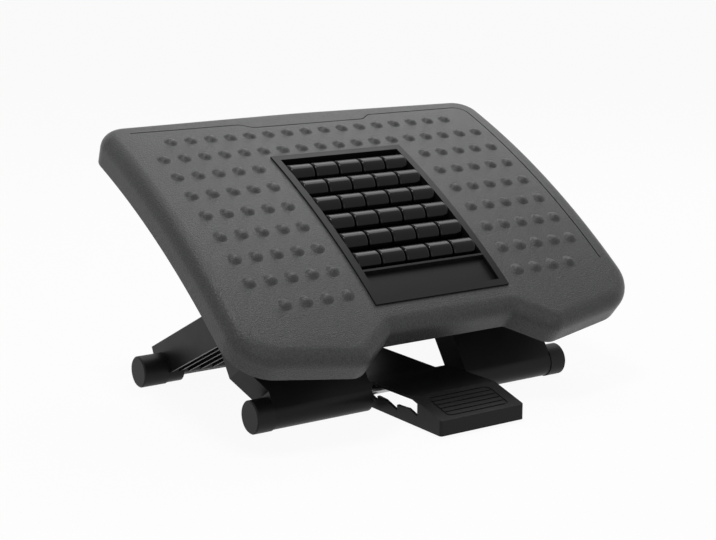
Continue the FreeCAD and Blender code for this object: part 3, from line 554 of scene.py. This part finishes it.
    def moulded_line(self) -> list[tuple[float, float]]:
        """The outline of the narrow moulded line along the rear and the right side."""
        rear, middle, front = (self.frame.on_tangent(s) for s in
                               (self.line_rear, self.line_middle, self.line_front))
        end = self.line_width / 5
        sides = []
        for offset in (self.line_width / 2, -self.line_width / 2):
            jogs = [(x, t + offset, self.line_jog_round)
                    for x, t in zip(self.line_jog, (rear, middle, middle, rear))]
            sides.append([(self.line_left, rear + offset, end)] + jogs + [
                (self.line_x + offset, rear + offset, self.line_corner + offset),
                (self.line_x + offset, front, end)])
        return rounded_corners(sides[0] + sides[1][::-1], self.line_turn)

    def shell(self) -> bmesh.types.BMesh:
        """The moulded shell with its shoulder, skirt, moulded line and opening, drawn flat."""
        shape = bmesh.new()
        edges = loop_edges(shape, self.outline(), -self.shoulder)
        face = bmesh.ops.contextual_create(shape, geom=edges)["faces"][0]
        if face.normal.z < 0:
            face.normal_flip()
        self.drop_skirt(shape, edges)
        rim = self.roll_shoulder(shape, face)
        self.fill_top(shape, rim)
        for index in range(int(2 * self.lobe_edge / self.strip) + 1):
            bisect(shape, (0, -self.lobe_edge + index * self.strip, 0), (0, 1, 0))
        bmesh.ops.recalc_face_normals(shape, faces=shape.faces)
        return shape

    def drop_skirt(self, shape: bmesh.types.BMesh, edges: list[bmesh.types.BMEdge]) -> None:
        """Hang the smooth skirt from the outline.

        Args:
            shape: The shell's bmesh.
            edges: The outline's edges.
        """
        for part in bmesh.ops.extrude_edge_only(shape, edges=edges)["geom"]:
            if isinstance(part, bmesh.types.BMVert):
                part.co.z = -self.skirt
            elif isinstance(part, bmesh.types.BMFace):
                part.material_index = 1

    def roll_shoulder(self, shape: bmesh.types.BMesh,
                      face: bmesh.types.BMFace) -> list[bmesh.types.BMEdge]:
        """Round the shoulder ring by ring, from the skirt up to the top.

        Args:
            shape: The shell's bmesh.
            face: The face within the outline. It is deleted.

        Returns:
            The edges in which the shoulder meets the top.
        """
        for step in range(self.steps):
            low = math.pi / 2 * step / self.steps
            high = math.pi / 2 * (step + 1) / self.steps
            inward = self.shoulder * (math.cos(low) - math.cos(high))
            upward = self.shoulder * (math.sin(high) - math.sin(low))
            ring = bmesh.ops.inset_region(shape, faces=[face], thickness=inward, depth=0,
                                          use_even_offset=True, use_boundary=True)
            for part in ring["faces"]:
                part.material_index = int(step < self.smooth_steps)
            for vert in face.verts:
                vert.co.z += upward
        rim = list(face.edges)
        bmesh.ops.delete(shape, geom=[face], context="FACES_ONLY")
        return rim

    def fill_top(self, shape: bmesh.types.BMesh, rim: list[bmesh.types.BMEdge]) -> None:
        """Fill the top, leaving the tray's opening and sinking the moulded line.

        Args:
            shape: The shell's bmesh.
            rim: The edges round the top.
        """
        window = [(self.opening_x, self.opening_rear), (-self.opening_x, self.opening_rear),
                  (-self.opening_x, -self.opening_front), (self.opening_x, -self.opening_front)]
        line = loop_edges(shape, self.moulded_line())
        bmesh.ops.triangle_fill(shape, edges=rim + loop_edges(shape, window) + line,
                                use_beauty=True, normal=(0, 0, 1))
        self.sink_line(shape, line)

    def sink_line(self, shape: bmesh.types.BMesh, line: list[bmesh.types.BMEdge]) -> None:
        """Give the moulded line its walls and its floor.

        Args:
            shape: The shell's bmesh.
            line: The edges of the line's outline, in the top.
        """
        walls = bmesh.ops.extrude_edge_only(shape, edges=line)
        floor = [part for part in walls["geom"] if isinstance(part, bmesh.types.BMEdge)]
        for part in walls["geom"]:
            if isinstance(part, bmesh.types.BMVert):
                part.co.z = -self.line_depth
        bmesh.ops.triangle_fill(shape, edges=floor, use_beauty=True, normal=(0, 0, 1))

    def stud(self) -> bmesh.types.BMesh:
        """One dome with a soft foot, standing on the crest."""
        ball = (self.stud_radius ** 2 + self.stud_height ** 2) / (2 * self.stud_height)
        profile = []
        for ring in range(self.stud_rings):
            height = self.stud_height * (1 - (ring / self.stud_rings) ** 2)
            drop = self.stud_height - height
            radius = math.sqrt(max(0.0, 2 * ball * drop - drop ** 2))
            profile.append((radius, 0, height))
        profile.append((self.stud_radius * self.stud_foot_spread, 0, self.stud_foot_rise))
        profile.append((self.stud_foot, 0, -self.stud_foot_sink))
        return spun(profile, (0, 0, 1), self.stud_sides)

    def stud_places(self) -> list[tuple[float, float]]:
        """The x and arc length of each stud, in rows round the roller tray."""
        places = []
        last_row, last_column = self.stud_rows - 1, self.stud_columns - 1
        for row in range(self.stud_rows):
            for column in range(self.stud_columns):
                from_side = min(column, last_column - column)
                over_tray = row >= self.full_rows and from_side >= self.stud_side_columns
                in_corner = row in (0, last_row) and from_side == 0
                if not (over_tray or in_corner):
                    places.append(((column - last_column / 2) * self.stud_pitch_x,
                                   (last_row / 2 - row) * self.stud_pitch_t))
        return places

    def studs(self) -> bpy.types.Mesh:
        """All the studs in their places, as one mesh."""
        mould = bpy.data.meshes.new("stud_mould")
        stud = self.stud()
        stud.to_mesh(mould)
        stud.free()
        shape = bmesh.new()
        for x, s in self.stud_places():
            before = len(shape.verts)
            shape.from_mesh(mould)
            shape.verts.ensure_lookup_table()
            place = self.frame.matrix() @ Matrix.Translation((x, 0, 0)) @ self.frame.along(s)
            bmesh.ops.transform(shape, matrix=place, verts=shape.verts[before:])
        bpy.data.meshes.remove(mould)
        made = bpy.data.meshes.new("plate_studs")
        shape.to_mesh(made)
        shape.free()
        return made

    def build(self) -> None:
        """Make the plate as one piece that stands for its CAD node."""
        shape = self.shell()
        self.frame.bend(shape)
        bmesh.ops.solidify(shape, geom=shape.faces[:], thickness=self.wall)
        studs = self.studs()
        shape.from_mesh(studs)
        bpy.data.meshes.remove(studs)
        made = self.shop.piece("plate_shell", shape, Slot.PLATE, "platform", ("footplate",))
        made.data.materials.append(SKIRT_FINISH.material("skirt_plastic"))


@dataclass
class Rollers:
    """The polished rollers, thirty barrels on six axles.

    Attributes:
        shop: Makes the pieces.
        frame: The plate's own frame.
        rows: Rows of rollers.
        columns: Rollers in a row.
        row_pitch: Spacing of the rows along the arch.
        pitch: Spacing of the rollers in a row.
        field_middle: Arc length of the middle between the rows.
        length: Length of a roller.
        radius: Its radius.
        rise: How far it stands above the arched top.
        bore: Radius of its bore.
        dish_depth: Depth of the dished ends.
        dish_foot: Radius of the dish at its floor.
        dish_mouth: Radius of the dish at its mouth.
        bevel: Radius of the rounds between ends and barrel.
        bevel_steps: Steps round them.
        land: Width of the ring that keeps the round's shading off the barrel.
        sides: Faces round a roller.
    """

    shop: Workshop
    frame: PlateFrame
    rows: int = 6
    columns: int = 5
    row_pitch: float = 26.8 * MM
    pitch: float = 27.8 * MM
    field_middle: float = -13.0 * MM
    length: float = 26.6 * MM
    radius: float = 11.6 * MM
    rise: float = 3.4 * MM
    bore: float = 2.1 * MM
    dish_depth: float = 1.2 * MM
    dish_foot: float = 7.4 * MM
    dish_mouth: float = 7.8 * MM
    bevel: float = 2.0 * MM
    bevel_steps: int = 4
    land: float = 0.4 * MM
    sides: int = 40

    def barrel(self) -> bmesh.types.BMesh:
        """One roller about the X axis."""
        end = -self.length / 2
        floor = end + self.dish_depth
        profile = [(floor, 0, self.bore), (floor, 0, self.dish_foot), (end, 0, self.dish_mouth)]
        for step in range(self.bevel_steps + 1):
            angle = math.pi / 2 * step / self.bevel_steps
            profile.append((end + self.bevel * (1 - math.cos(angle)), 0,
                            self.radius - self.bevel * (1 - math.sin(angle))))
        profile.append((end + self.bevel + self.land, 0, self.radius))
        profile += [(-x, y, radius) for x, y, radius in reversed(profile)]
        return spun(profile, (1, 0, 0), self.sides)

    def build(self) -> None:
        """Make every roller as a piece of its own body."""
        for row in range(self.rows):
            s = self.field_middle + ((self.rows - 1) / 2 - row) * self.row_pitch
            for column in range(self.columns):
                shape = self.barrel()
                x = (column - (self.columns - 1) / 2) * self.pitch
                place = (self.frame.matrix() @ self.frame.along(s)
                         @ Matrix.Translation((x, 0, self.rise - self.radius)))
                bmesh.ops.transform(shape, matrix=place, verts=shape.verts)
                node = f"roller_r{row + 1}_c{column + 1}"
                self.shop.piece(f"barrel_r{row + 1}_c{column + 1}", shape, Slot.ROLLER,
                                f"{node}_body", (node,))


@dataclass
class Base:
    """The two legs, their caps, the pedal and the rods, shown as their CAD nodes.

    Attributes:
        shop: Dresses the nodes.
        frame: The loaded frame.
    """

    shop: Workshop
    frame: dict

    def slots(self) -> dict[str, Slot]:
        """The slot of each CAD node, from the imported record."""
        parts = self.frame["record"]["subparts"]
        return {part["node"]: Slot(part["material_slot"]) for part in parts}

    def build(self) -> None:
        """Dress every CAD node in its slot's finish."""
        for node, slot in self.slots().items():
            self.shop.dress(self.frame["nodes"][node], slot)


@dataclass(frozen=True)
class Lamp:
    """One square soft light that faces the object.

    Attributes:
        name: The light's name.
        place: Where it hangs.
        size: The length of its side.
        power: Its power in watts.
    """

    name: str
    place: tuple[float, float, float]
    size: float
    power: float

    def hang(self, target: tuple[float, float, float]) -> None:
        """Add the light to the scene.

        Args:
            target: The point that it faces.
        """
        lamp = bpy.data.lights.new(self.name, "AREA")
        lamp.size = self.size
        lamp.energy = self.power
        made = bpy.data.objects.new(self.name, lamp)
        bpy.context.scene.collection.objects.link(made)
        made.location = self.place
        aim = Vector(target) - Vector(self.place)
        made.rotation_mode = "QUATERNION"
        made.rotation_quaternion = aim.to_track_quat("-Z", "Y")


LAMPS = (
    Lamp("key", (-0.45, -0.25, 2.0), 0.45, 17.0),
    Lamp("top", (1.0, 0.7, 1.8), 1.2, 13.0),
    Lamp("fill", (-0.7, -2.0, 0.5), 1.4, 7.0),
)


@dataclass
class Studio:
    """The pale floor, the soft lights and the camera.

    Attributes:
        shift_y: How far the CAD frame lies behind the camera's own frame.
        shift_z: How far it lies above it.
        camera_place: The camera's place in its own frame.
        yaw: The camera's turn to the right of the Y axis.
        pitch: How far it looks down.
        lens: Its focal length in millimetres.
        sensor: The width of its film in millimetres.
        reach: The furthest that it sees.
        target: The point that the lights face.
        floor_size: Half the width of the floor.
        floor_grey: The floor's colour in the lights.
        floor_roughness: Its roughness.
        floor_glow: Share of plain white that the floor shows to the camera.
        ambient: Strength of the even light from all round.
    """

    shift_y: float = 10.7736 * MM
    shift_z: float = -0.3 * MM
    camera_place: tuple[float, float, float] = (-876.05 * MM, -1279.51 * MM, 457.07 * MM)
    yaw: float = math.radians(33.907)
    pitch: float = math.radians(12.340)
    lens: float = 80.60
    sensor: float = 36.0
    reach: float = 100.0
    target: tuple[float, float, float] = (0.0, 0.0, 0.1)
    floor_size: float = 12.0
    floor_grey: float = 0.9
    floor_roughness: float = 0.9
    floor_glow: float = 0.94
    ambient: float = 0.16

    def seen(self, tree: bpy.types.NodeTree) -> bpy.types.NodeSocket:
        """One where the camera, a reflection or a clear piece looks at the surroundings.

        Args:
            tree: The node tree that it is added to.

        Returns:
            The socket that holds it.
        """
        path = tree.nodes.new("ShaderNodeLightPath")
        total = path.outputs["Is Camera Ray"]
        for name in ("Is Glossy Ray", "Is Transmission Ray"):
            either = tree.nodes.new("ShaderNodeMath")
            either.operation = "MAXIMUM"
            tree.links.new(total, either.inputs[0])
            tree.links.new(path.outputs[name], either.inputs[1])
            total = either.outputs["Value"]
        return total

    def floor(self) -> None:
        """A wide plain floor that shows white to the camera and keeps the shadow."""
        shape = bmesh.new()
        bmesh.ops.create_grid(shape, x_segments=1, y_segments=1, size=self.floor_size)
        mesh = bpy.data.meshes.new("floor")
        shape.to_mesh(mesh)
        shape.free()
        made = bpy.data.objects.new("floor", mesh)
        bpy.context.scene.collection.objects.link(made)
        paper = bpy.data.materials.new("paper_floor")
        paper.use_nodes = True
        tree = paper.node_tree
        shader = tree.nodes["Principled BSDF"]
        shader.inputs["Base Color"].default_value = (*[self.floor_grey] * 3, 1.0)
        shader.inputs["Roughness"].default_value = self.floor_roughness
        glow = tree.nodes.new("ShaderNodeEmission")
        share = tree.nodes.new("ShaderNodeMath")
        share.operation = "MULTIPLY"
        share.inputs[1].default_value = self.floor_glow
        mix = tree.nodes.new("ShaderNodeMixShader")
        tree.links.new(self.seen(tree), share.inputs[0])
        tree.links.new(share.outputs["Value"], mix.inputs["Fac"])
        tree.links.new(shader.outputs["BSDF"], mix.inputs[1])
        tree.links.new(glow.outputs["Emission"], mix.inputs[2])
        tree.links.new(mix.outputs["Shader"], tree.nodes["Material Output"].inputs["Surface"])
        mesh.materials.append(paper)

    def world(self) -> None:
        """An even pale surrounding."""
        world = bpy.data.worlds.new("studio")
        world.use_nodes = True
        tree = world.node_tree
        back = tree.nodes["Background"]
        back.inputs["Color"].default_value = (1, 1, 1, 1)
        level = tree.nodes.new("ShaderNodeMapRange")
        level.inputs["To Min"].default_value = self.ambient
        level.inputs["To Max"].default_value = 1.0
        tree.links.new(self.seen(tree), level.inputs["Value"])
        tree.links.new(level.outputs["Result"], back.inputs["Strength"])
        bpy.context.scene.world = world

    def camera(self) -> None:
        """The camera at the photograph's viewpoint."""
        data = bpy.data.cameras.new("photo_camera")
        data.lens = self.lens
        data.sensor_width = self.sensor
        data.clip_end = self.reach
        made = bpy.data.objects.new("photo_camera", data)
        bpy.context.scene.collection.objects.link(made)
        made.location = Vector(self.camera_place) + Vector((0, self.shift_y, self.shift_z))
        ahead = Vector((math.sin(self.yaw) * math.cos(self.pitch),
                        math.cos(self.yaw) * math.cos(self.pitch), -math.sin(self.pitch)))
        made.rotation_mode = "QUATERNION"
        made.rotation_quaternion = ahead.to_track_quat("-Z", "Y")
        bpy.context.scene.camera = made

    def build(self) -> None:
        """Set up floor, lights, surrounding and camera."""
        self.floor()
        for lamp in LAMPS:
            lamp.hang(self.target)
        self.world()
        self.camera()
        bpy.context.scene.view_settings.view_transform = "Standard"


def main() -> None:
    """Build the footrest's looks in order."""
    logging.basicConfig(level=logging.INFO, format="%(message)s")
    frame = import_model()
    shop = Workshop()
    shop.mix_finishes()
    plate = PlateFrame()
    Base(shop, frame).build()
    Footplate(shop, plate).build()
    Rollers(shop, plate).build()
    Studio().build()


if __name__ == "__main__":
    main()
